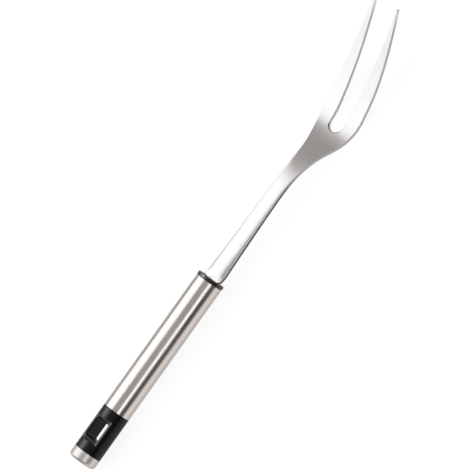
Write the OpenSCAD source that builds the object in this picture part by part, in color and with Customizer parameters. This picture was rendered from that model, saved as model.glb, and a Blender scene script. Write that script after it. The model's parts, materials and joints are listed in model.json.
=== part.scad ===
// Two-tined barbecue fork with a round tube handle.
// The handle runs along +X from the butt to the tines, +Z is the front of the tines, and Y runs across them.
// It is drawn along its own handle axis and then laid on its back, as it comes to rest on a table.

/* [Handle tube] */
// Outside diameter of the tube, the hanger block and the end cap
tube_d = 22; // [19:0.5:26]
// Wall of the tube
tube_wall = 0.9; // [0.6:0.1:1.4]
// Length of the tube
tube_len = 118.6; // [90:0.1:150]
// Broken edge at both ends of the tube and of the hanger block
joint_edge = 0.2; // [0.1:0.05:0.4]

/* [End cap] */
// Length of the cap
cap_len = 8.4; // [7.5:0.1:12]
// Wall of the cap
cap_wall = 0.9; // [0.6:0.1:1.2]
// Outside radius of the cap's rounded edge
cap_round = 3; // [2:0.1:4]

/* [Hanger block] */
// Length of the block that shows between the cap and the tube
block_len = 37.1; // [33:0.1:45]
// Length of each flat pocket along the handle
pocket_len = 21.3; // [19.5:0.1:22.5]
// Distance from the cap to the pockets
pocket_lead = 7.8; // [5:0.1:9]
// Depth of each pocket below the round outside
pocket_depth = 3.7; // [3:0.1:4.5]
// Length of the hanging slot along the handle
slot_len = 15.1; // [12:0.1:16]
// Width of the hanging slot
slot_w = 12; // [9:0.1:13]
// Distance from the pocket's end to the slot
slot_lead = 3.5; // [2:0.1:4]
// Radius of the slot's corners
slot_corner = 1.8; // [1:0.1:3]
// Broken edge round each mouth of the slot
slot_edge = 1; // [0.3:0.1:1.2]
// Length of the spigot inside the tube
spigot_len = 18; // [12:0.5:26]
// Wall of the cored spigot
spigot_wall = 2.4; // [1.6:0.1:3.2]
// Length of the spigot inside the cap
cap_spigot_len = 5.4; // [4:0.1:6]
// Lead-in chamfer on the end of every spigot and plug
lead_in = 0.8; // [0.4:0.1:1.2]

/* [Ferrule] */
// Length of the ring that shows between the tube and the head
ring_len = 2.9; // [2.5:0.1:6]
// How far the ring stands proud of the tube
ring_proud = 0.25; // [0.1:0.05:0.6]
// Radius of the ring's outer edges
ring_round = 0.5; // [0.3:0.1:1]
// Length of the plug inside the tube
plug_len = 30; // [27:0.5:40]

/* [Tang] */
// Width of the tang
tang_w = 9; // [7:0.1:11]
// Thickness of the tang, pressed thinner than the sheet
tang_t = 2; // [1.4:0.1:2.2]
// Length of the tang inside the ferrule
tang_len = 26; // [20:0.5:28]
// Diameter of the locking hole in the tang
tang_hole_d = 4; // [3:0.1:5]
// Distance from the shoulders to the locking hole
tang_hole_at = 16; // [10:0.5:17]

/* [Head outline] */
// Width of the shaft at its root
root_w = 17.9; // [17:0.1:20]
// Radius of the two corners of the root
root_corner = 2.2; // [1:0.1:3]
// Width of the shaft where the taper from the root ends
shaft_w = 15.7; // [14.5:0.1:17.5]
// Length of the taper from the root
taper_len = 30; // [24:0.5:45]
// Width of the shaft at its narrowest
waist_w = 13; // [12:0.1:14.5]
// Distance from the end of the straight shaft to the narrowest place
waist_lead = 11; // [6:0.5:16]
// Width of the neck where its bend ends
neck_w = 18.9; // [16:0.1:20]
// Width across the shoulder at the bottom of the gap
shoulder_w = 34.1; // [31:0.1:35.5]
// Width across the tines at their widest
head_w = 38.4; // [37:0.1:41]
// Width across the tines at the middle of their length
mid_w = 37.3; // [35:0.1:38.5]
// Distance from the widest place to that middle
mid_lead = 32; // [24:0.5:40]
// Width across the two points
tip_span = 25.4; // [24.6:0.1:28]
// Diameter of the round bottom of the gap
gap_d = 13.7; // [12:0.1:15.5]
// Distance between the two points
tip_gap = 23.2; // [21:0.1:24.2]
// Distance from the lowest place of the belly back to the bottom of the gap
gap_setback = 5.5; // [4:0.1:8]

/* [Head side line] */
// Height of the straight shaft above the handle's axis
shaft_rise = 0; // [-1.5:0.1:1]
// Slope of the straight shaft in degrees
shaft_slope = -1; // [-2:0.1:1]
// Length of the straight shaft
shaft_len = 76.9; // [60:0.1:90]
// Radius of the bend where the neck dips to the back
neck_r = 121; // [100:1:150]
// Slope of the neck in degrees
neck_angle = 20.2; // [17:0.1:22]
// Length of the straight part of the neck
neck_flat = 10.3; // [8:0.1:18]
// Radius of the belly
belly_r = 55; // [50:0.1:66]
// Slope of the tines in degrees where they leave the belly
rise_angle = 15.2; // [13:0.1:19]
// Radius of the long curve of the tines
tine_r = 324; // [280:1:360]
// Slope of the points in degrees
tip_angle = 26.1; // [24:0.1:29]
// Length of the straight end of the tines
tip_len = 29.4; // [26:0.1:36]

/* [Head section] */
// Thickness of the sheet
sheet_t = 2.6; // [2.3:0.1:3]
// Thickness of the tines at their points
tip_t = 2.3; // [1.6:0.1:2.5]
// How far the shaft's edges are turned down at its root
crown = 2.3; // [1.2:0.1:3]
// How flat the shaft stays in the middle before its edges turn down
crown_power = 2.4; // [2:0.1:3]
// Length over which the turned edges start at the root
crown_lead = 8; // [6:1:24]
// Radius of the shaft's edges
shaft_round = 0.7; // [0.6:0.1:1.2]
// Radius of the edges of the tines
tine_round = 0.45; // [0.2:0.05:0.8]
// Length of the rounded end of each point
point_len = 1.6; // [1:0.1:3]

/* [Fit] */
// Clearance between pieces that are pressed or moulded together
fit_gap = 0.05; // [0.02:0.01:0.1]

/* [Hidden] */

STEEL = [0.80, 0.80, 0.79];
BLACK = [0.07, 0.07, 0.08];

// Fineness of turned pieces and of the slot's corners
ROUND_FN = 96;
CORNER_FN = 32;
// Fineness of the head: places along the body, the gap's bottom, the tines and their points
BODY_STEPS = 32;
GAP_STEPS = 8;
TINE_STEPS = 26;
POINT_STEPS = 4;
CORNER_STEPS = 4;
// Fineness of the head's section: steps across each half, and steps round each edge
ACROSS_STEPS = 4;
EDGE_STEPS = 2;
// Extra length of a cut past the surface it opens
CUT = 1;

tube_r = tube_d / 2;
// Places along the handle, from the butt
BLOCK_X = cap_len;
TUBE_X = BLOCK_X + block_len;
RING_X = TUBE_X + tube_len;
// The head starts clear of the ring, with room for the lower edge of its sloping shaft
HEAD_X = RING_X + ring_len + fit_gap + (sheet_t / 2 + crown) * abs(sin(shaft_slope));
pocket_x = BLOCK_X + pocket_lead;
slot_x = pocket_x + slot_lead;
pocket_z = tube_r - pocket_depth;
bore_r = tube_r - tube_wall - fit_gap;

// Side line of the head: a chain of straights and arcs, each with its length and its turn in degrees
function arc_len(r, turn) = r * turn * PI / 180;
neck_turn = neck_angle + shaft_slope;
belly_turn = neck_angle + rise_angle;
tine_turn = tip_angle - rise_angle;
LINKS = [
    [shaft_len, 0],
    [arc_len(neck_r, neck_turn), -neck_turn],
    [neck_flat, 0],
    [arc_len(belly_r, belly_turn), belly_turn],
    [arc_len(tine_r, tine_turn), tine_turn],
    [tip_len, 0]
];
// Distances along the side line, from the shoulders of the root
neck_end = LINKS[0][0] + LINKS[1][0];
belly_start = neck_end + LINKS[2][0];
belly_end = belly_start + LINKS[3][0];
belly_low = belly_start + arc_len(belly_r, neck_angle);
head_end = belly_end + LINKS[4][0] + LINKS[5][0];
gap_start = belly_low - gap_setback;

// Where a link of a given length and turn leads from pose [x, z, slope]
function walk(pose, length, turn) =
    turn == 0
        ? [pose[0] + length * cos(pose[2]), pose[1] + length * sin(pose[2]), pose[2]]
        : let (r = length * 180 / (PI * turn), slope = pose[2] + turn)
            [pose[0] + r * (sin(slope) - sin(pose[2])), pose[1] - r * (cos(slope) - cos(pose[2])), slope];

// Pose [x, z, slope] of the side line at distance u from the root
function side_at(u, i = 0, pose = [HEAD_X, shaft_rise, shaft_slope]) =
    i == len(LINKS) - 1 || u <= LINKS[i][0]
        ? walk(pose, u, LINKS[i][1] * u / LINKS[i][0])
        : side_at(u - LINKS[i][0], i + 1, walk(pose, LINKS[i][0], LINKS[i][1]));

// A smooth curve through knots [place, value], flat wherever a knot is a high or a low point,
// and evenly curved over its last span
function rate(k, i) = (k[i + 1][1] - k[i][1]) / (k[i + 1][0] - k[i][0]);
function knot_slope(k, i) =
    i == 0 ? rate(k, 0)
    : i == len(k) - 1 ? 2 * rate(k, i - 1) - knot_slope(k, i - 1)
    : rate(k, i - 1) * rate(k, i) <= 0 ? 0
    : (k[i + 1][1] - k[i - 1][1]) / (k[i + 1][0] - k[i - 1][0]);
function curve_at(k, u, i = 0) =
    i < len(k) - 2 && u > k[i + 1][0] ? curve_at(k, u, i + 1)
    : let (
        h = k[i + 1][0] - k[i][0],
        t = (u - k[i][0]) / h
    )
    k[i][1] * (1 + 2 * t) * (1 - t) * (1 - t)
        + knot_slope(k, i) * h * t * (1 - t) * (1 - t)
        + k[i + 1][1] * t * t * (3 - 2 * t)
        - knot_slope(k, i + 1) * h * t * t * (1 - t);

// A smooth rise from 0 at a to 1 at b
function ease(u, a, b) =
    let (t = max(0, min(1, (u - a) / (b - a))))
    t * t * (3 - 2 * t);

// Half the head's width across both tines, with the rounded corners of the root
OUTLINE = [
    [0, root_w / 2],
    [taper_len, shaft_w / 2],
    [shaft_len + waist_lead, waist_w / 2],
    [neck_end, neck_w / 2],
    [gap_start, shoulder_w / 2],
    [belly_end, head_w / 2],
    [belly_end + mid_lead, mid_w / 2],
    [head_end, tip_span / 2]
];
function corner_loss(u) =
    let (d = max(0, root_corner - u))
    root_corner - sqrt(root_corner * root_corner - d * d);
function half_w(u) = curve_at(OUTLINE, u) - corner_loss(u);

// The gap: a round bottom, then two straight edges that run tangent from it to the points
gap_r = gap_d / 2;
gap_u = gap_start + gap_r;
gap_flare = atan2(tip_gap / 2, head_end - gap_u) - asin(gap_r / norm([head_end - gap_u, tip_gap / 2]));
gap_side = gap_u - gap_r * sin(gap_flare);
function half_gap(u) = gap_r / cos(gap_flare) + (u - gap_u) * tan(gap_flare);

// Thickness, turned-down edges and edge radius of the sheet
function sheet_at(u) = sheet_t + (tip_t - sheet_t) * ease(u, belly_end, head_end);
function crown_at(u) = crown * ease(u, -crown_lead / 2, crown_lead) * (1 - ease(u, shaft_len, neck_end));
function round_at(u) = shaft_round + (tine_round - shaft_round) * ease(u, shaft_len, belly_start);
// How far the rounded end of a point has closed in
function point_at(u) =
    let (t = max(0, (u - head_end + point_len) / point_len))
    sqrt(max(0.04, 1 - t * t));

// Places along the body, and along the tines
body_u = concat(
    [for (i = [0:CORNER_STEPS - 1]) root_corner * (1 - cos(90 * i / CORNER_STEPS))],
    [for (i = [0:BODY_STEPS - 1]) root_corner + (gap_start - root_corner) * i / BODY_STEPS]
);
tine_end = head_end - point_len;
tine_u = concat(
    [for (i = [1:TINE_STEPS]) gap_side + (tine_end - gap_side) * i / TINE_STEPS],
    [for (i = [1:POINT_STEPS]) tine_end + point_len * sin(90 * i / POINT_STEPS)]
);

// One station of half the head: [outer edge, inner edge, way into the metal from the inner edge, thickness, radius].
// Each edge is a place [u, y] on the flat pattern.
function body_station(u) =
    [[u, half_w(u)], [u, 0], [0, 0], sheet_at(u), min(round_at(u), 0.45 * sheet_at(u))];
function gap_station(a) =
    let (
        way = [-cos(a), sin(a)],
        u = gap_start + (gap_side - gap_start) * a / (90 - gap_flare)
    )
    [[u, half_w(u)], [gap_u, 0] + gap_r * way, way, sheet_at(u), round_at(u)];
function tine_station(u) =
    let (
        middle = (half_w(u) + half_gap(u)) / 2,
        half = (half_w(u) - half_gap(u)) / 2 * point_at(u),
        t = sheet_at(u) * point_at(u)
    )
    [[u, middle + half], [u, middle - half], [-sin(gap_flare), cos(gap_flare)], t,
        min(round_at(u), 0.45 * t, 0.8 * half)];
function tang_station(u) = [[u, tang_w / 2], [u, 0], [0, 0], tang_t, 0.1];

body_stations = concat(
    [tang_station(-tang_len), tang_station(-fit_gap)],
    [for (u = body_u) body_station(u)]
);
tine_stations = concat(
    [for (i = [0:GAP_STEPS]) gap_station((90 - gap_flare) * i / GAP_STEPS)],
    [for (u = tine_u) tine_station(u)]
);
STATIONS = concat(body_stations, tine_stations);
BODY_COUNT = len(body_stations);
STATION_COUNT = len(STATIONS);

// The section of one half, as places [u, y, height above the sheet's middle]
function across(s, k, up) =
    let (
        inner = s[1] + s[4] * s[2],
        outer = s[0] - [0, s[4]],
        p = inner + (outer - inner) * k / ACROSS_STEPS
    )
    [p[0], p[1], up * s[3] / 2];
function round_edge(s, edge, way, a, up) =
    let (p = edge + way * s[4] * (1 - cos(a)))
    [p[0], p[1], up * (s[3] / 2 - s[4] * (1 - sin(a)))];
EDGE_ANGLES = [for (k = [1:EDGE_STEPS]) 90 - 90 * k / EDGE_STEPS];
// From the back at the inner edge, round the outer edge, to the front at the inner edge
function open_section(s) = concat(
    [for (k = [0:ACROSS_STEPS]) across(s, k, -1)],
    [for (a = EDGE_ANGLES) round_edge(s, s[0], [0, -1], a, -1)],
    [for (k = [EDGE_STEPS - 1:-1:0]) round_edge(s, s[0], [0, -1], EDGE_ANGLES[k], 1)],
    [for (k = [ACROSS_STEPS:-1:0]) across(s, k, 1)]
);
// The wall of the gap, from the front to the back
function wall_section(s) = concat(
    [for (a = EDGE_ANGLES) round_edge(s, s[1], s[2], a, 1)],
    [for (k = [EDGE_STEPS - 1:-1:0]) round_edge(s, s[1], s[2], EDGE_ANGLES[k], -1)]
);
OPEN = 2 * (ACROSS_STEPS + 1 + EDGE_STEPS);
WALL = 2 * EDGE_STEPS;

// Puts a place of the flat pattern onto the bent sheet, with the shaft's edges turned down
function bent(p, side) =
    let (
        pose = p[0] < 0 ? [HEAD_X + p[0], shaft_rise, 0] : side_at(p[0]),
        fall = p[0] < 0 ? 0 : crown_at(p[0]) * pow(p[1] / (root_w / 2), crown_power),
        q = p[2] - fall
    )
    [pose[0] - q * sin(pose[2]), side * p[1], pose[1] + q * cos(pose[2])];

function half_points(side) = [
    for (i = [0:STATION_COUNT - 1])
        for (p = concat(open_section(STATIONS[i]), i < BODY_COUNT ? [] : wall_section(STATIONS[i])))
            bent(p, side)
];

// Number of a point. The two halves share the points that lie on the middle line.
HALF_COUNT = STATION_COUNT * OPEN + (STATION_COUNT - BODY_COUNT) * WALL;
function shared(i, k) = i <= BODY_COUNT && (k == 0 || k >= OPEN - 1);
function number(side, i, k) =
    (side < 0 && !shared(i, k) ? HALF_COUNT : 0) + i * OPEN + max(0, i - BODY_COUNT) * WALL + k;

// A four-sided face as two triangles, turned over on the second half
function quad(side, a, b, c, d) = side > 0 ? [[a, b, c], [a, c, d]] : [[c, b, a], [d, c, a]];
function skin(side) = [
    for (i = [0:STATION_COUNT - 2])
        let (last = i < BODY_COUNT ? OPEN - 2 : OPEN + WALL - 1)
        for (k = [0:last])
            let (next = (k + 1) % (OPEN + WALL))
            for (f = quad(side, number(side, i, k), number(side, i + 1, k),
                    number(side, i + 1, next), number(side, i, next)))
                f
];
function root_end(side) = [
    for (k = [0:OPEN / 2 - 2])
        for (f = quad(side, number(side, 0, k), number(side, 0, k + 1),
                number(side, 0, OPEN - 2 - k), number(side, 0, OPEN - 1 - k)))
            f
];
function point_end(side) =
    let (i = STATION_COUNT - 1, ring = OPEN + WALL)
    concat(
        [
            for (k = [0:OPEN / 2 - 2])
                for (f = quad(side, number(side, i, OPEN - 1 - k), number(side, i, OPEN - 2 - k),
                        number(side, i, k + 1), number(side, i, k)))
                    f
        ],
        [
            for (k = [0:WALL / 2 - 1])
                for (f = quad(side, number(side, i, (ring - k) % ring), number(side, i, ring - 1 - k),
                        number(side, i, OPEN + k), number(side, i, OPEN - 1 + k)))
                    f
        ]
    );

// Rest pose: the line that touches the cap's rounded edge and the belly becomes the table
belly_pose = side_at(belly_low);
cap_touch = [cap_round, cap_round - tube_r];
belly_touch = [belly_pose[0], belly_pose[1] + belly_r];
touch_way = belly_touch - cap_touch;
rest_angle = atan2(touch_way[1], touch_way[0])
    - asin((belly_r + sheet_t / 2 - cap_round) / norm(touch_way));
function rested_x(p) = p[0] * cos(rest_angle) + p[1] * sin(rest_angle);
function rested_z(p) = p[1] * cos(rest_angle) - p[0] * sin(rest_angle);
rest_drop = rested_z(cap_touch) - cap_round;
rest_middle = (rested_x(cap_touch) - cap_round + rested_x(side_at(head_end))) / 2;

module laid_down() {
    translate([-rest_middle, 0, -rest_drop])
        rotate([0, rest_angle, 0])
            children();
}

// Turns a profile, drawn as [radius, place along the handle], about the handle's axis
module turned() {
    rotate([0, 90, 0])
        rotate_extrude($fn = ROUND_FN)
            children();
}

// Profile of a round bar or tube with broken outer edges
module bar_profile(r_in, r_out, x0, x1, edge0, edge1) {
    polygon([
        [r_in, x0],
        [r_out - edge0, x0],
        [r_out, x0 + edge0],
        [r_out, x1 - edge1],
        [r_out - edge1, x1],
        [r_in, x1]
    ]);
}

// Profile of a round bar with a rounded edge at its near end
module domed_profile(r, x0, x1, corner) {
    translate([0, x0])
        square([r - corner, corner]);
    translate([0, x0 + corner])
        square([r, x1 - x0 - corner]);
    translate([r - corner, x0 + corner])
        circle(r = corner, $fn = ROUND_FN);
}

// Outline of the hanging slot, grown by a margin
module slot_outline(grow) {
    translate([slot_x + slot_len / 2, 0]) {
        square([slot_len - 2 * slot_corner, slot_w + 2 * grow], center = true);
        square([slot_len + 2 * grow, slot_w - 2 * slot_corner], center = true);
        for (sx = [-1, 1]) {
            for (sy = [-1, 1]) {
                translate([sx * (slot_len / 2 - slot_corner), sy * (slot_w / 2 - slot_corner)])
                    circle(r = slot_corner + grow, $fn = CORNER_FN);
            }
        }
    }
}

// Straight walls of the slot
module slot_walls() {
    translate([0, 0, -tube_r - CUT])
        linear_extrude(height = tube_d + 2 * CUT)
            slot_outline(0);
}

// Broken edge where the slot opens into a pocket
module slot_mouth() {
    hull() {
        translate([0, 0, pocket_z - slot_edge])
            linear_extrude(height = slot_edge / 10)
                slot_outline(0);
        translate([0, 0, pocket_z])
            linear_extrude(height = slot_edge)
                slot_outline(slot_edge);
    }
}

// One flat pocket across the front of the block
module pocket() {
    translate([pocket_x, -tube_r - CUT, pocket_z])
        cube([pocket_len, tube_d + 2 * CUT, pocket_depth + CUT]);
}

module fork_head() {
    color(STEEL)
        laid_down()
            difference() {
                polyhedron(
                    points = concat(half_points(1), half_points(-1)),
                    faces = concat(skin(1), skin(-1), root_end(1), root_end(-1), point_end(1), point_end(-1)),
                    convexity = 6
                );
                translate([HEAD_X - tang_hole_at, 0, shaft_rise - tang_t / 2 - CUT])
                    cylinder(d = tang_hole_d, h = tang_t + 2 * CUT, $fn = ROUND_FN);
            }
}

module ferrule() {
    ring_end = RING_X + ring_len;
    slot_t = tang_t + 2 * fit_gap;
    slot_depth = tang_len + fit_gap;
    color(BLACK)
        laid_down() {
            difference() {
                union() {
                    turned()
                        bar_profile(0, tube_r + ring_proud, RING_X, ring_end, ring_round, ring_round);
                    turned()
                        bar_profile(0, bore_r, RING_X - plug_len, RING_X + ring_len / 2, lead_in, 0);
                }
                translate([HEAD_X - slot_depth, -tang_w / 2 - fit_gap, shaft_rise - slot_t / 2])
                    cube([slot_depth + CUT, tang_w + 2 * fit_gap, slot_t]);
            }
            translate([HEAD_X - tang_hole_at, 0, shaft_rise - slot_t / 2 - fit_gap])
                cylinder(d = tang_hole_d - 2 * fit_gap, h = slot_t + 2 * fit_gap, $fn = ROUND_FN);
        }
}

module handle_tube() {
    color(STEEL)
        laid_down()
            turned()
                bar_profile(tube_r - tube_wall, tube_r, TUBE_X, RING_X, joint_edge, joint_edge);
}

module hanger_block() {
    color(BLACK)
        laid_down()
            difference() {
                union() {
                    turned()
                        bar_profile(0, tube_r, BLOCK_X, TUBE_X, joint_edge, joint_edge);
                    turned()
                        bar_profile(0, bore_r, TUBE_X - CUT, TUBE_X + spigot_len, 0, lead_in);
                    turned()
                        bar_profile(0, tube_r - cap_wall - fit_gap, BLOCK_X - cap_spigot_len, BLOCK_X + CUT, lead_in, 0);
                }
                turned()
                    bar_profile(0, bore_r - spigot_wall, TUBE_X, TUBE_X + spigot_len + CUT, 0, 0);
                slot_walls();
                for (face = [0, 1]) {
                    mirror([0, 0, face]) {
                        pocket();
                        slot_mouth();
                    }
                }
            }
}

module end_cap() {
    color(STEEL)
        laid_down()
            turned()
                difference() {
                    domed_profile(tube_r, 0, cap_len, cap_round);
                    domed_profile(tube_r - cap_wall, cap_wall, cap_len + CUT, cap_round - cap_wall);
                }
}

fork_head();
ferrule();
handle_tube();
hanger_block();
end_cap();
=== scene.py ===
"""Two-tined barbecue fork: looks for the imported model, on a plain white floor under soft studio light."""
import json
import math

import bpy
from mathutils import Matrix, Vector


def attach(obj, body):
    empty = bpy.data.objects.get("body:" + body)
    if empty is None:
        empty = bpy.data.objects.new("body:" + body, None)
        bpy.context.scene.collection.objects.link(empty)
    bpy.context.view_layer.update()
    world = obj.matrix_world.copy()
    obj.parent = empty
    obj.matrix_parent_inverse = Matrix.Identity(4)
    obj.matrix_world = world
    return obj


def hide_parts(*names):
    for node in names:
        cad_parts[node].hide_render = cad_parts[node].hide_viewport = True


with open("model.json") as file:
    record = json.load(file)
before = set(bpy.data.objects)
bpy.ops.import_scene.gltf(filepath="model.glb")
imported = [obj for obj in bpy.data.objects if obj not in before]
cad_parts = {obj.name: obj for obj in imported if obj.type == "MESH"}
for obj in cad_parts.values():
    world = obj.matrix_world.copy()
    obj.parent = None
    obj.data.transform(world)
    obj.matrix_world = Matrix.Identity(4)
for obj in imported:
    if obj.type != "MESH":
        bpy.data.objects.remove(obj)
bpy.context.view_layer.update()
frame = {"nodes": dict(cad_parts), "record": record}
scene = bpy.context.scene

MM_PER_M = 1000
QUARTER_TURN = math.pi / 2

# Frame of the handle
# The fork lies on its back, so the handle's axis rises a little toward the tines. The flat face on the
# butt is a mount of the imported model: the axis starts at its middle and runs opposite to the way it faces.
butt_face = next(mount for mount in frame["record"]["mounts"] if mount["name"] == "butt_face")
BUTT = Vector(butt_face["pos_m"])
ALONG = -Vector(butt_face["axis"]).normalized()
ACROSS = Vector((0, 1, 0))
FRONT = ALONG.cross(ACROSS)
REST_ANGLE = math.atan2(ALONG.z, ALONG.x)


def handle_place(x, y, z):
    """A place along, across and in front of the handle's axis, in millimetres from the butt."""
    return BUTT + (ALONG * x + ACROSS * y + FRONT * z) / MM_PER_M


# Camera
# How far the camera stands round the handle from its front, and leans toward the tines
TURN = math.radians(37.46)
PITCH = math.radians(3.52)
# How far the picture is turned about the line of sight
ROLL = math.radians(-0.304)
# Scale and side of the picture
PX_PER_MM = 1.352
PICTURE = 470
# Directions of the handle's axis and of its right side on the picture
AXIS_ON_PICTURE = (0.5847, -0.8113)
SIDE_ON_PICTURE = (0.8113, 0.5847)
# The place on the handle's axis that the picture is measured from, and the pixel it is seen at
MEASURED_FROM = 203.0
SEEN_AT = (239.37, 238.67)
# The camera's distance and the range it sees in metres, and its sensor in millimetres
DISTANCE = 12.0
NEAREST, FARTHEST = 0.1, 100
SENSOR = 36.0


def place_camera():
    """A distant camera that sees the handle's axis at its slope, scale and place on the picture."""
    outward = FRONT * math.cos(TURN) - ACROSS * math.sin(TURN)
    toward = outward * math.cos(PITCH) + ALONG * math.sin(PITCH)
    along = ALONG * math.cos(PITCH) - outward * math.sin(PITCH)
    aside = -ACROSS * math.cos(TURN) - FRONT * math.sin(TURN)
    roll_cos, roll_sin = math.cos(ROLL), math.sin(ROLL)
    axis_x, axis_y = AXIS_ON_PICTURE
    side_x, side_y = SIDE_ON_PICTURE
    right = along * (axis_x * roll_cos + side_x * roll_sin) + aside * (side_x * roll_cos - axis_x * roll_sin)
    right.normalize()
    down = along * (axis_y * roll_cos + side_y * roll_sin) + aside * (side_y * roll_cos - axis_y * roll_sin)
    up = (-down - right * (-down).dot(right)).normalized()
    middle = (PICTURE - 1) / 2
    pixel = 1 / PX_PER_MM / MM_PER_M
    target = handle_place(MEASURED_FROM, 0, 0)
    target -= right * (SEEN_AT[0] - middle) * pixel - up * (SEEN_AT[1] - middle) * pixel
    data = bpy.data.cameras.new("camera")
    data.sensor_width = SENSOR
    data.lens = SENSOR * DISTANCE / (PICTURE * pixel)
    data.clip_start = NEAREST
    data.clip_end = FARTHEST
    camera = bpy.data.objects.new("camera", data)
    scene.collection.objects.link(camera)
    turn = Matrix((right, up, toward)).transposed().to_4x4()
    camera.matrix_world = Matrix.Translation(target + toward * DISTANCE) @ turn
    scene.camera = camera
    scene.view_settings.view_transform = "Standard"


# Nodes
def add_node(tree, kind, inputs=(), **settings):
    """A new node with its settings. Each input is set to a plain value or linked to another node's output."""
    node = tree.nodes.new(kind)
    for name, value in settings.items():
        setattr(node, name, value)
    for key, value in dict(inputs).items():
        if isinstance(value, bpy.types.NodeSocket):
            tree.links.new(value, node.inputs[key])
        else:
            node.inputs[key].default_value = value
    return node


def maths(tree, operation, *values):
    return add_node(tree, "ShaderNodeMath", enumerate(values), operation=operation).outputs[0]


def times(tree, first, second):
    return maths(tree, "MULTIPLY", first, second)


def ramp(tree, value, start, stop, at_start, at_stop, smooth=True):
    """A change of a value from one level to another, between a start and a stop."""
    inputs = {"Value": value, "From Min": start, "From Max": stop, "To Min": at_start, "To Max": at_stop}
    bend = "SMOOTHSTEP" if smooth else "LINEAR"
    return add_node(tree, "ShaderNodeMapRange", inputs, interpolation_type=bend).outputs[0]


def mix(tree, kind, factor, first, second):
    """A value or colour between two, by a factor."""
    inputs = {"Factor": factor, "A": first, "B": second}
    return add_node(tree, "ShaderNodeMix", inputs, data_type=kind).outputs["Result"]


def mix_shaders(tree, factor, first, second):
    return add_node(tree, "ShaderNodeMixShader", {0: factor, 1: first, 2: second}).outputs[0]


def split_up(tree, vector):
    """The X, Y and Z of a vector."""
    return add_node(tree, "ShaderNodeSeparateXYZ", {0: vector}).outputs


# Light
WHITE = (1, 1, 1, 1)
# The tint of the room that gloss mirrors, and of its dark right side
WARM = (1.0, 0.93, 0.90, 1)
DUSKY = (1.0, 0.62, 0.55, 1)
# How bright a room gloss mirrors: each change has a start and a stop, in shares of a direction, and its
# level at both. The room darkens low on the right, low on the left, and at both ends of the fork. The
# first change also sets the level of the rest of the room.
ROOM_RIGHT = (-0.82, -0.98, 0.395, 0.05)
ROOM_LEFT = (0.80, 0.97, 1.0, 0.7)
ROOM_AHEAD = (0.75, 0.95, 1.0, 0.15)
ROOM_BEHIND = (-0.75, -0.90, 1.0, 0.2)
# How dusky its tint is, low on the right
ROOM_DUSK = (-0.82, -0.98, 0.0, 1.0)
# How bright a room lights matt surfaces, and how bright a room the camera sees
ROOM_FILL = 0.65
ROOM_SEEN = 1.0
# How bright a floor gloss mirrors: each change has a start and a stop in metres, and its level at both.
# The floor is dark on the right, and beside the handle it is duller on the left and darker under the fork,
# where the darkening is a painted shadow. The first change also sets the level of the rest of the floor.
FLOOR_RIGHT = (-0.06, -0.095, 0.76, 0.05)
FLOOR_LEFT = (0.02, 0.04, 1.0, 0.6)
FLOOR_PAINTED_SHADOW = (0.016, 0.024, 0.7, 1.0)
BESIDE_HANDLE = (-0.035, -0.045, 0.0, 1.0)
# The floor's side in metres, its matt colour, and the glow that brings it to white for the camera
FLOOR_SIZE = 8
FLOOR_COLOUR = (0.16, 0.16, 0.16, 1)
FLOOR_GLOW = 0.88
# The place that the head's own light faces, and how widely that light spreads
HEAD_LIGHT_ABOUT = Vector((-0.0008, 0, 0.008))
HEAD_LIGHT_SPREAD = math.radians(160)


def direction(angle, along):
    """A direction that leans by an angle in degrees from the front toward the picture's right.

    A share of it points along the fork.
    """
    lean, side = math.radians(angle), math.sqrt(1 - along * along)
    return Vector((along, -math.sin(lean) * side, math.cos(lean) * side))


def softbox(name, toward, size_x, size_y, radiance, distance=1.5, about=Vector((0, 0, 0)), twist=0):
    """A flat lamp seen in a direction from a place, and facing that place.

    It is twisted in its own plane by an angle in degrees. Its sizes and distance are in metres.
    """
    data = bpy.data.lights.new(name, "AREA")
    data.shape = "RECTANGLE"
    data.size = size_x
    data.size_y = size_y
    data.energy = radiance * math.pi * size_x * size_y
    lamp = bpy.data.objects.new(name, data)
    scene.collection.objects.link(lamp)
    right = Vector((1, 0, 0))
    right = (right - toward * right.dot(toward)).normalized()
    up = toward.cross(right)
    turn = Matrix((right, up, toward)).transposed().to_4x4() @ Matrix.Rotation(math.radians(twist), 4, "Z")
    lamp.matrix_world = Matrix.Translation(about + toward * distance) @ turn
    lamp.visible_camera = False
    return lamp


def light_only(lamp, pieces):
    group = bpy.data.collections.new(lamp.name + "_group")
    for piece in pieces:
        group.objects.link(piece)
    lamp.light_linking.receiver_collection = group
    return group


def light_all_but(lamp, pieces):
    for member in light_only(lamp, pieces).collection_objects:
        member.light_linking.link_state = "EXCLUDE"


def place_lamps(head):
    """A key light from the left, one for the head alone, a strip from the right, and one for black pieces."""
    black = [frame["nodes"]["hanger_block"], frame["nodes"]["ferrule"]]
    key = softbox("key_softbox", direction(angle=-38, along=-0.317), size_x=1.95, size_y=1.95, radiance=1.03)
    light_all_but(key, [head])
    head_key = softbox("head_key_softbox", direction(angle=-41, along=0), size_x=0.222, size_y=0.40,
                       radiance=0.88, distance=0.242, about=HEAD_LIGHT_ABOUT, twist=1)
    head_key.data.spread = HEAD_LIGHT_SPREAD
    light_only(head_key, [head])
    strip = softbox("strip_softbox", direction(angle=53.3, along=0), size_x=3.0, size_y=0.47, radiance=1.2)
    light_all_but(strip, black)
    gleam = softbox("plastic_key_softbox", direction(angle=-34, along=-0.317), size_x=1.3, size_y=0.72,
                    radiance=4.8, distance=1.3)
    light_only(gleam, black)


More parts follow.
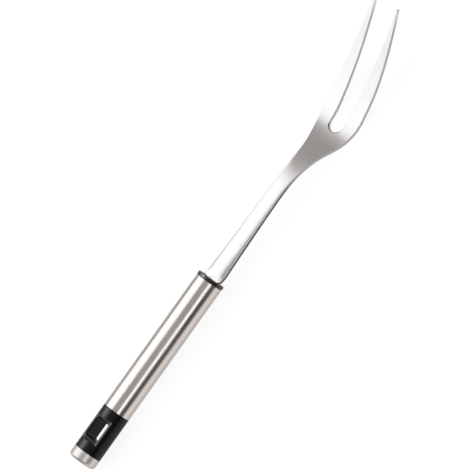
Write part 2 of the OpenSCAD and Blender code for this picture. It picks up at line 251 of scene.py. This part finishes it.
def paint_room():
    """A plain room for the camera, an even one for matt surfaces, and one with dark ends for gloss."""
    world = bpy.data.worlds.new("studio")
    scene.world = world
    world.use_nodes = True
    tree = world.node_tree
    tree.nodes.clear()
    way = split_up(tree, add_node(tree, "ShaderNodeTexCoord").outputs["Generated"])
    ray = add_node(tree, "ShaderNodeLightPath").outputs
    sides = times(tree, ramp(tree, way["Y"], *ROOM_RIGHT), ramp(tree, way["Y"], *ROOM_LEFT))
    ends = times(tree, ramp(tree, way["X"], *ROOM_AHEAD), ramp(tree, way["X"], *ROOM_BEHIND))
    level = times(tree, sides, ends)
    tint = mix(tree, "RGBA", ramp(tree, way["Y"], *ROOM_DUSK), WARM, DUSKY)
    mirrored = add_node(tree, "ShaderNodeBackground", {"Color": tint, "Strength": level}).outputs[0]
    even = add_node(tree, "ShaderNodeBackground", {"Strength": ROOM_FILL}).outputs[0]
    plain = add_node(tree, "ShaderNodeBackground", {"Strength": ROOM_SEEN}).outputs[0]
    unseen = mix_shaders(tree, ray["Is Diffuse Ray"], mirrored, even)
    room = mix_shaders(tree, ray["Is Camera Ray"], unseen, plain)
    add_node(tree, "ShaderNodeOutputWorld", {0: room})


def lay_floor():
    """A floor that the camera sees as white under a faint shadow, and that gloss mirrors with dark places,
    among them a painted shadow under the fork.
    """
    bpy.ops.mesh.primitive_plane_add(size=FLOOR_SIZE)
    floor = bpy.context.object
    floor.name = "floor"
    material = bpy.data.materials.new("pale_floor")
    material.use_nodes = True
    tree = material.node_tree
    tree.nodes.clear()
    place = split_up(tree, add_node(tree, "ShaderNodeTexCoord").outputs["Object"])
    ray = add_node(tree, "ShaderNodeLightPath").outputs
    # The glow that gloss mirrors is darker under the fork: a painted shadow, beside the real faint one that
    # the matt part takes
    painted_shadow = ramp(tree, maths(tree, "ABSOLUTE", place["Y"]), *FLOOR_PAINTED_SHADOW)
    shaded = times(tree, ramp(tree, place["Y"], *FLOOR_LEFT), painted_shadow)
    shade = mix(tree, "FLOAT", ramp(tree, place["X"], *BESIDE_HANDLE), 1.0, shaded)
    mirrored = times(tree, ramp(tree, place["Y"], *FLOOR_RIGHT), shade)
    seen = times(tree, ray["Is Camera Ray"], FLOOR_GLOW)
    strength = maths(tree, "MULTIPLY_ADD", ray["Is Glossy Ray"], mirrored, seen)
    tint = mix(tree, "RGBA", ray["Is Glossy Ray"], WHITE, WARM)
    glow = add_node(tree, "ShaderNodeEmission", {"Color": tint, "Strength": strength}).outputs[0]
    matt = add_node(tree, "ShaderNodeBsdfDiffuse", {"Color": FLOOR_COLOUR}).outputs[0]
    both = add_node(tree, "ShaderNodeAddShader", {0: matt, 1: glow}).outputs[0]
    add_node(tree, "ShaderNodeOutputMaterial", {0: both})
    floor.data.materials.append(material)


# Head
# Its sizes are in millimetres and degrees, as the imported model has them. First the length of the handle up
# to the head, and the clearance of the fits
HANDLE_LEN = 167
FIT_GAP = 0.05
# Side line, from the root to the points: the shaft's height and slope, then straights, bends and slopes
SHAFT_RISE = 0
SHAFT_SLOPE = -1
SHAFT_LEN = 76.9
NECK_R = 121
NECK_ANGLE = 20.2
NECK_FLAT = 10.3
BELLY_R = 55
RISE_ANGLE = 15.2
TINE_R = 324
TIP_ANGLE = 26.1
TIP_LEN = 29.4
# Outline: widths across the head, how far apart they lie, and the radius of the root's corners
ROOT_W = 17.9
ROOT_CORNER = 2.2
TAPER_LEN = 30
SHAFT_W = 15.7
WAIST_LEAD = 11
WAIST_W = 13
NECK_W = 18.9
SHOULDER_W = 34.1
HEAD_W = 38.4
MID_LEAD = 32
MID_W = 37.3
TIP_SPAN = 25.4
# Gap between the tines: its round bottom, its width at the points, and how far its bottom lies behind the
# lowest place of the belly
GAP_D = 13.7
TIP_GAP = 23.2
GAP_SETBACK = 5.5
# Section: the sheet's thickness, the shaft's turned-down edges, and the rounding of edges and points
SHEET_T = 2.6
TIP_T = 2.3
CROWN = 2.3
CROWN_LEAD = 8
CROWN_POWER = 2.4
SHAFT_ROUND = 0.7
TINE_ROUND = 0.45
POINT_LEN = 1.6
# A point ends at this share of its width and thickness
POINT_END = 0.2
# An edge's radius stays under these shares of the sheet's thickness and of half a tine's width
MOST_OF_SHEET = 0.45
MOST_OF_TINE = 0.8
# Tang inside the ferrule, with its locking hole
TANG_W = 9
TANG_T = 2
TANG_LEN = 26
TANG_ROUND = 0.1
TANG_HOLE_D = 4
TANG_HOLE_AT = 16

# The head starts clear of the ring, with room for the lower edge of its sloping shaft
HEAD_X = HANDLE_LEN + FIT_GAP + (SHEET_T / 2 + CROWN) * abs(math.sin(math.radians(SHAFT_SLOPE)))
NECK_TURN = NECK_ANGLE + SHAFT_SLOPE
BELLY_TURN = NECK_ANGLE + RISE_ANGLE
TINE_TURN = TIP_ANGLE - RISE_ANGLE


def arc(radius, turn):
    return radius * math.radians(turn)


# Links of the side line, each with its length and its turn in degrees
LINKS = [
    (SHAFT_LEN, 0),
    (arc(NECK_R, NECK_TURN), -NECK_TURN),
    (NECK_FLAT, 0),
    (arc(BELLY_R, BELLY_TURN), BELLY_TURN),
    (arc(TINE_R, TINE_TURN), TINE_TURN),
    (TIP_LEN, 0),
]
# Distances along the side line from the root. A distance along it is called u from here on.
NECK_END = LINKS[0][0] + LINKS[1][0]
BELLY_START = NECK_END + LINKS[2][0]
BELLY_END = BELLY_START + LINKS[3][0]
GAP_START = BELLY_START + arc(BELLY_R, NECK_ANGLE) - GAP_SETBACK
HEAD_END = BELLY_END + LINKS[4][0] + LINKS[5][0]
OUTLINE = [
    (0, ROOT_W / 2),
    (TAPER_LEN, SHAFT_W / 2),
    (SHAFT_LEN + WAIST_LEAD, WAIST_W / 2),
    (NECK_END, NECK_W / 2),
    (GAP_START, SHOULDER_W / 2),
    (BELLY_END, HEAD_W / 2),
    (BELLY_END + MID_LEAD, MID_W / 2),
    (HEAD_END, TIP_SPAN / 2),
]
# Fineness: places along the body, the gap's bottom, the tines, the points and the root's corners
BODY_STEPS, GAP_STEPS, TINE_STEPS, POINT_STEPS, CORNER_STEPS = 110, 28, 90, 10, 10
# Fineness of a section: steps across each half, and steps round each edge
ACROSS_STEPS, EDGE_STEPS = 8, 4
# Fineness of the tang's hole: steps round it
HOLE_STEPS = 64
# Number of places on a half's open section, and on the wall of the gap that closes it
OPEN = 2 * (ACROSS_STEPS + 1 + EDGE_STEPS)
WALL = 2 * EDGE_STEPS
# Material slots of the head's mesh: the sheet, its cut edge with painted light and shade, and the cut edge at
# the gap's bottom, painted dark as shade
SHEET_SLOT, EDGE_SLOT, GAP_PAINTED_SHADE_SLOT = 0, 1, 2
# Steps in the middle of each wall: the outer wall, and the wall of the gap
OUTER_WALL = ACROSS_STEPS + EDGE_STEPS
GAP_WALL = OPEN - 1 + EDGE_STEPS
# How many steps on either side of a wall's middle the punched edge takes up
PUNCHED_STEPS = EDGE_STEPS // 2
# How many stations round the gap's bottom have an edge painted dark as shade
PAINTED_SHADE_GAP_STEPS = GAP_STEPS * 3 // 4
# The angle from which an edge shades as sharp, and how much large faces count in smooth shading
SHARP_ANGLE = math.radians(40)
LARGE_FACE_WEIGHT = 80


def side_at(u):
    """Pose [x, z, slope] of the head's side line at a distance from its root."""
    x, z, slope = HEAD_X, SHAFT_RISE, math.radians(SHAFT_SLOPE)
    for i, (length, turn) in enumerate(LINKS):
        step = u if i == len(LINKS) - 1 else min(u, length)
        bend = math.radians(turn) * step / length
        if bend == 0:
            x, z = x + step * math.cos(slope), z + step * math.sin(slope)
        else:
            radius = step / bend
            x += radius * (math.sin(slope + bend) - math.sin(slope))
            z -= radius * (math.cos(slope + bend) - math.cos(slope))
            slope += bend
        u -= step
        if u <= 0:
            break
    return x, z, slope


def curve_at(knots, u):
    """A smooth curve through knots, flat at high and low knots and evenly curved over its last span."""
    rate = [(b[1] - a[1]) / (b[0] - a[0]) for a, b in zip(knots, knots[1:])]
    slopes = [rate[0]]
    for i in range(1, len(knots) - 1):
        before, after = knots[i - 1], knots[i + 1]
        turns_back = rate[i - 1] * rate[i] <= 0
        slopes.append(0 if turns_back else (after[1] - before[1]) / (after[0] - before[0]))
    slopes.append(2 * rate[-1] - slopes[-1])
    i = max(0, sum(1 for knot in knots[1:-1] if u > knot[0]))
    span = knots[i + 1][0] - knots[i][0]
    t = (u - knots[i][0]) / span
    return (knots[i][1] * (1 + 2 * t) * (1 - t) ** 2 + slopes[i] * span * t * (1 - t) ** 2
            + knots[i + 1][1] * t * t * (3 - 2 * t) - slopes[i + 1] * span * t * t * (1 - t))


def ease(u, start, stop):
    """A smooth rise from 0 at a start to 1 at a stop."""
    t = max(0.0, min(1.0, (u - start) / (stop - start)))
    return t * t * (3 - 2 * t)


def half_w(u):
    """Half the head's width across both tines, with the rounded corners of the root."""
    short = max(0.0, ROOT_CORNER - u)
    return curve_at(OUTLINE, u) - ROOT_CORNER + math.sqrt(ROOT_CORNER ** 2 - short * short)


# The gap: a round bottom, then two straight edges that run tangent from it to the points
GAP_R = GAP_D / 2
GAP_U = GAP_START + GAP_R
GAP_LEN = HEAD_END - GAP_U
FLARE = math.atan2(TIP_GAP / 2, GAP_LEN) - math.asin(GAP_R / math.hypot(GAP_LEN, TIP_GAP / 2))
GAP_SIDE = GAP_U - GAP_R * math.sin(FLARE)


def half_gap(u):
    return GAP_R / math.cos(FLARE) + (u - GAP_U) * math.tan(FLARE)


def sheet_at(u):
    return SHEET_T + (TIP_T - SHEET_T) * ease(u, BELLY_END, HEAD_END)


def crown_at(u):
    """How far the sheet's edges are turned down."""
    return CROWN * ease(u, -CROWN_LEAD / 2, CROWN_LEAD) * (1 - ease(u, SHAFT_LEN, NECK_END))


def round_at(u):
    return SHAFT_ROUND + (TINE_ROUND - SHAFT_ROUND) * ease(u, SHAFT_LEN, BELLY_START)


def point_at(u):
    """The share of its width and thickness that the rounded end of a point keeps."""
    t = max(0.0, (u - HEAD_END + POINT_LEN) / POINT_LEN)
    return math.sqrt(max(POINT_END ** 2, 1 - t * t))


# A station is a section of one half: its outer edge and its inner edge as places [u, y], the way into the
# metal from the inner edge, the thickness, and the radius of its edges.
def tang_station(u):
    return (u, TANG_W / 2), (u, 0), (0, 0), TANG_T, TANG_ROUND


def body_station(u):
    thickness = sheet_at(u)
    return (u, half_w(u)), (u, 0), (0, 0), thickness, min(round_at(u), MOST_OF_SHEET * thickness)


def gap_station(angle):
    way = (-math.cos(angle), math.sin(angle))
    u = GAP_START + (GAP_SIDE - GAP_START) * angle / (QUARTER_TURN - FLARE)
    return (u, half_w(u)), (GAP_U + GAP_R * way[0], GAP_R * way[1]), way, sheet_at(u), round_at(u)


def tine_station(u):
    middle = (half_w(u) + half_gap(u)) / 2
    half = (half_w(u) - half_gap(u)) / 2 * point_at(u)
    thickness = sheet_at(u) * point_at(u)
    radius = min(round_at(u), MOST_OF_SHEET * thickness, MOST_OF_TINE * half)
    return (u, middle + half), (u, middle - half), (-math.sin(FLARE), math.cos(FLARE)), thickness, radius


def body_stations():
    tang = [tang_station(-TANG_LEN), tang_station(-FIT_GAP)]
    corners = [ROOT_CORNER * (1 - math.cos(QUARTER_TURN * i / CORNER_STEPS)) for i in range(CORNER_STEPS)]
    rest = [ROOT_CORNER + (GAP_START - ROOT_CORNER) * i / BODY_STEPS for i in range(BODY_STEPS)]
    return tang + [body_station(u) for u in corners + rest]


def tine_stations():
    bottom = [gap_station((QUARTER_TURN - FLARE) * i / GAP_STEPS) for i in range(GAP_STEPS + 1)]
    end = HEAD_END - POINT_LEN
    sides = [GAP_SIDE + (end - GAP_SIDE) * i / TINE_STEPS for i in range(1, TINE_STEPS + 1)]
    points = [end + POINT_LEN * math.sin(QUARTER_TURN * i / POINT_STEPS) for i in range(1, POINT_STEPS + 1)]
    return bottom + [tine_station(u) for u in sides + points]


def loop_of(station, with_wall):
    """A station's places [u, y, height] above the sheet's middle.

    They run from the back's inner edge round the outer edge to the front, and on round the gap's wall.
    """
    outer, inner, way, thickness, radius = station
    start = (inner[0] + radius * way[0], inner[1] + radius * way[1])
    stop = (outer[0], outer[1] - radius)

    def across(k, up):
        share = k / ACROSS_STEPS
        place = [a + (b - a) * share for a, b in zip(start, stop)]
        return (*place, up * thickness / 2)

    def rounded(edge, into, angle, up):
        depth = radius * (1 - math.cos(angle))
        height = up * (thickness / 2 - radius * (1 - math.sin(angle)))
        return edge[0] + into[0] * depth, edge[1] + into[1] * depth, height

    angles = [QUARTER_TURN * (1 - k / EDGE_STEPS) for k in range(1, EDGE_STEPS + 1)]
    loop = [across(k, -1) for k in range(ACROSS_STEPS + 1)]
    loop += [rounded(outer, (0, -1), a, -1) for a in angles]
    loop += [rounded(outer, (0, -1), a, 1) for a in reversed(angles)]
    loop += [across(k, 1) for k in range(ACROSS_STEPS, -1, -1)]
    if with_wall:
        loop += [rounded(inner, way, a, 1) for a in angles]
        loop += [rounded(inner, way, a, -1) for a in reversed(angles)]
    return loop


def bent(place, side):
    """A place of the flat pattern on the bent sheet, with the shaft's edges turned down."""
    u, y, height = place
    if u < 0:
        x, z, slope = HEAD_X + u, SHAFT_RISE, 0
    else:
        x, z, slope = side_at(u)
        height -= crown_at(u) * abs(y / (ROOT_W / 2)) ** CROWN_POWER
    return handle_place(x - height * math.sin(slope), side * y, z + height * math.cos(slope))


def number_places(stations, body_count):
    """The places of both halves, and the number of each by its side, station and step.

    The two halves share the places on the middle line.
    """
    places, numbers = [], {}
    for side in (1, -1):
        for i, station in enumerate(stations):
            for k, place in enumerate(loop_of(station, i >= body_count)):
                on_middle = i <= body_count and (k == 0 or k >= OPEN - 1)
                if side < 0 and on_middle:
                    numbers[side, i, k] = numbers[1, i, k]
                else:
                    numbers[side, i, k] = len(places)
                    places.append(bent(place, side))
    return places, numbers


def slot_of(i, k, body_count):
    """The material slot of the face after a station and a step."""
    # The front half of the wall round the gap's bottom gets the steel painted dark as shade
    if OPEN - 1 <= k < GAP_WALL and body_count <= i < body_count + PAINTED_SHADE_GAP_STEPS:
        return GAP_PAINTED_SHADE_SLOT
    if min(abs(k - OUTER_WALL), abs(k - GAP_WALL)) <= PUNCHED_STEPS:
        return EDGE_SLOT
    return SHEET_SLOT


def make_skin():
    """The head's places, its faces as numbers of places, and the material slot of each face."""
    body = body_stations()
    stations = body + tine_stations()
    places, numbers = number_places(stations, len(body))
    faces, slots = [], []

    def face(side, corners, slot=SHEET_SLOT):
        faces.append([numbers[side, i, k] for i, k in (corners if side > 0 else corners[::-1])])
        slots.append(slot)

    ring = OPEN + WALL
    last = len(stations) - 1
    for side in (1, -1):
        for i in range(last):
            for k in range(OPEN - 1 if i < len(body) else ring):
                n = (k + 1) % ring
                face(side, [(i, k), (i + 1, k), (i + 1, n), (i, n)], slot_of(i, k, len(body)))
        for k in range(OPEN // 2 - 1):
            face(side, [(0, k), (0, k + 1), (0, OPEN - 2 - k), (0, OPEN - 1 - k)])
        for k in range(OPEN // 2 - 1):
            face(side, [(last, OPEN - 1 - k), (last, OPEN - 2 - k), (last, k + 1), (last, k)])
        for k in range(WALL // 2):
            steps = ((ring - k) % ring, ring - 1 - k, OPEN + k, OPEN - 1 + k)
            face(side, [(last, step) for step in steps])
    return places, faces, slots


def drill_tang(piece):
    """Cuts the round hole that locks the tang in the ferrule, with a drill that reaches past both faces."""
    bpy.ops.mesh.primitive_cylinder_add(
        vertices=HOLE_STEPS, radius=TANG_HOLE_D / 2 / MM_PER_M, depth=3 * TANG_T / MM_PER_M,
        location=handle_place(HEAD_X - TANG_HOLE_AT, 0, SHAFT_RISE), rotation=(0, -REST_ANGLE, 0))
    drill = bpy.context.object
    hole = piece.modifiers.new("tang_hole", "BOOLEAN")
    hole.operation = "DIFFERENCE"
    hole.solver = "EXACT"
    hole.object = drill
    bpy.context.view_layer.objects.active = piece
    bpy.ops.object.modifier_apply(modifier="tang_hole")
    bpy.data.objects.remove(drill)


def build_head(materials):
    """The head at fine steps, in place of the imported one, with a material for each slot."""
    places, faces, slots = make_skin()
    mesh = bpy.data.meshes.new("fork_head_skin")
    mesh.from_pydata(places, [], faces)
    for material in materials:
        mesh.materials.append(material)
    mesh.polygons.foreach_set("material_index", slots)
    mesh.validate()
    piece = bpy.data.objects.new("fork_head_skin", mesh)
    scene.collection.objects.link(piece)
    drill_tang(piece)
    mesh.shade_smooth()
    mesh.set_sharp_from_angle(angle=SHARP_ANGLE)
    weighted = piece.modifiers.new("flat_faces_stay_flat", "WEIGHTED_NORMAL")
    weighted.keep_sharp = True
    weighted.weight = LARGE_FACE_WEIGHT
    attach(piece, "root")
    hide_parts("fork_head")
    return piece


# Materials
TUBE_COLOUR = (0.745, 0.73, 0.71)
HEAD_COLOUR = (0.74, 0.74, 0.74)
# The tint of the punched edge, against the warm room that it mirrors, and the near-black colour of its
# stretch at the gap's bottom, which is painted shade
EDGE_TINT = (0.93, 0.98, 1.0)
GAP_EDGE_PAINTED_SHADE = (0.03, 0.03, 0.03)
EDGE_ROUGHNESS = 0.42
# How bright the punched edge's colour is, which is painted light and shade: painted shade beside the shaft,
# painted light round the tines and more at the points. Each change has a start and a stop in metres along the
# fork, and its level at both
EDGE_PAINTED_SHADE_AT_NECK = (0.045, 0.062, 0.15, 0.5)
EDGE_PAINTED_LIGHT_AT_TINES = (0.105, 0.165, 1.0, 1.15)
EDGE_PAINTED_LIGHT_AT_POINTS = (0.188, 0.203, 1.0, 1.7)
# Scale of the drawn grain along and across the handle, and its relief: its share and its depth in metres
HEAD_GRAIN = (90, 1600, 1600)
TUBE_GRAIN = (60, 2200, 2200)
GRAIN_DETAIL = 4
GRAIN_RELIEF = 0.35
GRAIN_DEPTH = 0.00002
# Scale of the cloudy changes of gloss. The sum of grain and clouds runs over a range, and the roughness
# varies with it, between two shares of its mean.
CLOUD_SCALE = 60
CLOUD_DETAIL = 3
CLOUD_RANGE = (0.6, 1.4)
SMOOTHEST, ROUGHEST = 0.8, 1.2
# Black plastic: its colour, the roughness of its moulded grain, the grain's scale, and its relief and depth
BLACK = (0.004, 0.004, 0.0045, 1)
MOULDED_ROUGHNESS = (0.24, 0.38)
MOULDED_SCALE = 900
MOULDED_DETAIL = 2
MOULDED_RELIEF = 0.15
MOULDED_DEPTH = 0.0001
# The pockets' floors: their share of the plastic's gloss, and how much rougher they are
DULL_GLOSS = 0.5
DULL_ROUGHNESS = 0.15
# Where a pocket's floor ends: by its height off the axis in metres, by how squarely it faces the front or
# the back, and by its distance from the middle line in metres. Each change has a start, a stop, and its
# level at both.
POCKET_HEIGHT = (0.0074, 0.0080, 1.0, 0.0)
POCKET_FACING = (0.93, 0.98, 0.0, 1.0)
POCKET_MIDDLE = (0.0055, 0.0070, 1.0, 0.0)


def new_material(name):
    """A new material, with its node tree, its shader and the places and normals of the surface."""
    material = bpy.data.materials.new(name)
    material.use_nodes = True
    tree = material.node_tree
    return material, tree, tree.nodes["Principled BSDF"], add_node(tree, "ShaderNodeTexCoord").outputs


def noise(tree, vector, scale, detail):
    inputs = {"Vector": vector, "Scale": scale, "Detail": detail}
    return add_node(tree, "ShaderNodeTexNoise", inputs).outputs["Fac"]


def bump(tree, height, relief, depth):
    inputs = {"Height": height, "Strength": relief, "Distance": depth}
    return add_node(tree, "ShaderNodeBump", inputs).outputs[0]


def painted_edge_light_and_shade(tree, place, tint):
    """Painted light and shade on the punched edge: darker beside the shaft as painted shade, brighter round
    the tines and at the points as painted light.
    """
    x = split_up(tree, place)["X"]
    level = times(tree, ramp(tree, x, *EDGE_PAINTED_SHADE_AT_NECK), ramp(tree, x, *EDGE_PAINTED_LIGHT_AT_TINES))
    level = times(tree, level, ramp(tree, x, *EDGE_PAINTED_LIGHT_AT_POINTS))
    return add_node(tree, "ShaderNodeVectorMath", {0: tint, "Scale": level}, operation="SCALE").outputs[0]


def steel(name, colour, roughness, grain_scale, painted_light_and_shade=False):
    """Satin steel with a fine grain drawn along the handle, and faint cloudy changes of gloss."""
    material, tree, shader, surface = new_material(name)
    shader.inputs["Base Color"].default_value = (*colour, 1)
    shader.inputs["Metallic"].default_value = 1
    if painted_light_and_shade:
        # On the punched edge the colour carries painted shade beside the shaft and painted light toward the
        # points
        tree.links.new(painted_edge_light_and_shade(tree, surface["Object"], colour), shader.inputs["Base Color"])
    turning = {0: surface["Object"], "Rotation": (0, REST_ANGLE, 0), "Scale": grain_scale}
    turned = add_node(tree, "ShaderNodeMapping", turning).outputs[0]
    grain = noise(tree, turned, scale=1, detail=GRAIN_DETAIL)
    clouds = noise(tree, surface["Object"], CLOUD_SCALE, CLOUD_DETAIL)
    cloudy = maths(tree, "ADD", grain, clouds)
    rough = ramp(tree, cloudy, *CLOUD_RANGE, roughness * SMOOTHEST, roughness * ROUGHEST, smooth=False)
    tree.links.new(rough, shader.inputs["Roughness"])
    tree.links.new(bump(tree, grain, GRAIN_RELIEF, GRAIN_DEPTH), shader.inputs["Normal"])
    return material


def along_front(tree, vector):
    """How far a vector reaches toward the front, or back, of the handle."""
    share = add_node(tree, "ShaderNodeVectorMath", {0: vector, 1: FRONT}, operation="DOT_PRODUCT")
    return maths(tree, "ABSOLUTE", share.outputs["Value"])


def pocket_floor(tree, surface):
    """One on the flat floors of the block's pockets near the middle line, zero elsewhere."""
    from_butt = add_node(tree, "ShaderNodeVectorMath", {0: surface["Object"], 1: BUTT}, operation="SUBTRACT")
    deep = ramp(tree, along_front(tree, from_butt.outputs[0]), *POCKET_HEIGHT)
    flat = ramp(tree, along_front(tree, surface["Normal"]), *POCKET_FACING)
    from_middle = maths(tree, "ABSOLUTE", split_up(tree, surface["Object"])["Y"])
    return times(tree, times(tree, deep, flat), ramp(tree, from_middle, *POCKET_MIDDLE))


def plastic(name, gloss):
    """Black moulded plastic, semi-gloss, with a fine moulded grain, duller on the floors of the pockets."""
    material, tree, shader, surface = new_material(name)
    shader.inputs["Base Color"].default_value = BLACK
    floor = pocket_floor(tree, surface)
    glossy = ramp(tree, floor, 0.0, 1.0, gloss, gloss * DULL_GLOSS)
    tree.links.new(glossy, shader.inputs["Specular IOR Level"])
    grain = noise(tree, surface["Object"], MOULDED_SCALE, MOULDED_DETAIL)
    rough = ramp(tree, grain, 0.0, 1.0, *MOULDED_ROUGHNESS, smooth=False)
    duller = maths(tree, "MULTIPLY_ADD", floor, DULL_ROUGHNESS, rough)
    tree.links.new(duller, shader.inputs["Roughness"])
    tree.links.new(bump(tree, grain, MOULDED_RELIEF, MOULDED_DEPTH), shader.inputs["Normal"])
    return material


def dress(node, material):
    """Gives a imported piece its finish."""
    piece = frame["nodes"][node]
    piece.data.materials.clear()
    piece.data.materials.append(material)


# Scene
place_camera()
head = build_head([
    steel("satin_head_steel", HEAD_COLOUR, roughness=0.31, grain_scale=HEAD_GRAIN),
    steel("cut_edge_painted_light_steel", EDGE_TINT, EDGE_ROUGHNESS, grain_scale=HEAD_GRAIN, painted_light_and_shade=True),
    # The gap's bottom edge is painted near black, as shade
    steel("gap_edge_painted_shade_steel", GAP_EDGE_PAINTED_SHADE, EDGE_ROUGHNESS, grain_scale=HEAD_GRAIN),
])
dress("handle_tube", steel("brushed_tube_steel", TUBE_COLOUR, roughness=0.235, grain_scale=TUBE_GRAIN))
dress("end_cap", steel("brushed_cap_steel", TUBE_COLOUR, roughness=0.40, grain_scale=TUBE_GRAIN))
dress("hanger_block", plastic("black_block_plastic", gloss=0.27))
dress("ferrule", plastic("black_ferrule_plastic", gloss=0.8))
place_lamps(head)
paint_room()
lay_floor()
